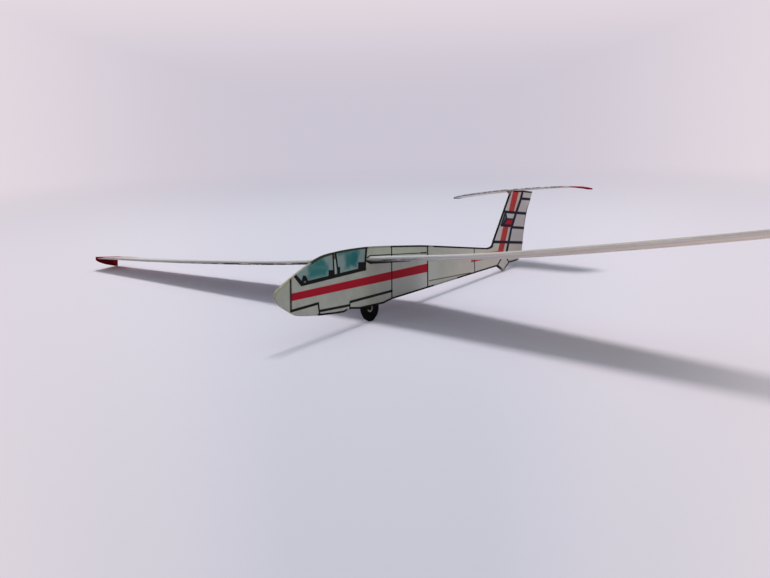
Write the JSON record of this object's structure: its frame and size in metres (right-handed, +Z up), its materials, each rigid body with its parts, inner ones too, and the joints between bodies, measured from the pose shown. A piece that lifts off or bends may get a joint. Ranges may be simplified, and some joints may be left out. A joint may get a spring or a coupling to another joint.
{
  "type": "card model of a T-tail sailplane glider",
  "caption": "Flat card model of a T-tail sailplane: layered profile body, folded wings with turned-down red tips, standing on wheel, tail skid and one tip.",
  "frame": {"origin": "centre of the bounding box, on the floor that the wheel, the tail skid and the starboard wing tip stand on", "axes": "+X to the port wing tip, along the wings; -Y is where the nose points; +Z up from the floor"},
  "size_m": [0.16, 0.0872, 0.0235],
  "materials": {
    "printed_card": "matte white card, printed with fine black lines and a red stripe",
    "bare_card": "cream cut edge of card, fibrous",
    "wheel_black": "card printed black",
    "tip_red": "card printed dark red"
  },
  "bodies": {
    "root": {"fuselage_core": "bare_card", "fuselage_side_port": "printed_card", "fuselage_side_starboard": "printed_card", "main_wheel": "wheel_black", "wing_port": "printed_card", "wing_starboard": "printed_card", "wing_tip_port": "tip_red", "wing_tip_starboard": "tip_red", "tailplane": "printed_card", "fin_gusset": "bare_card"}
  },
  "joints": []
}
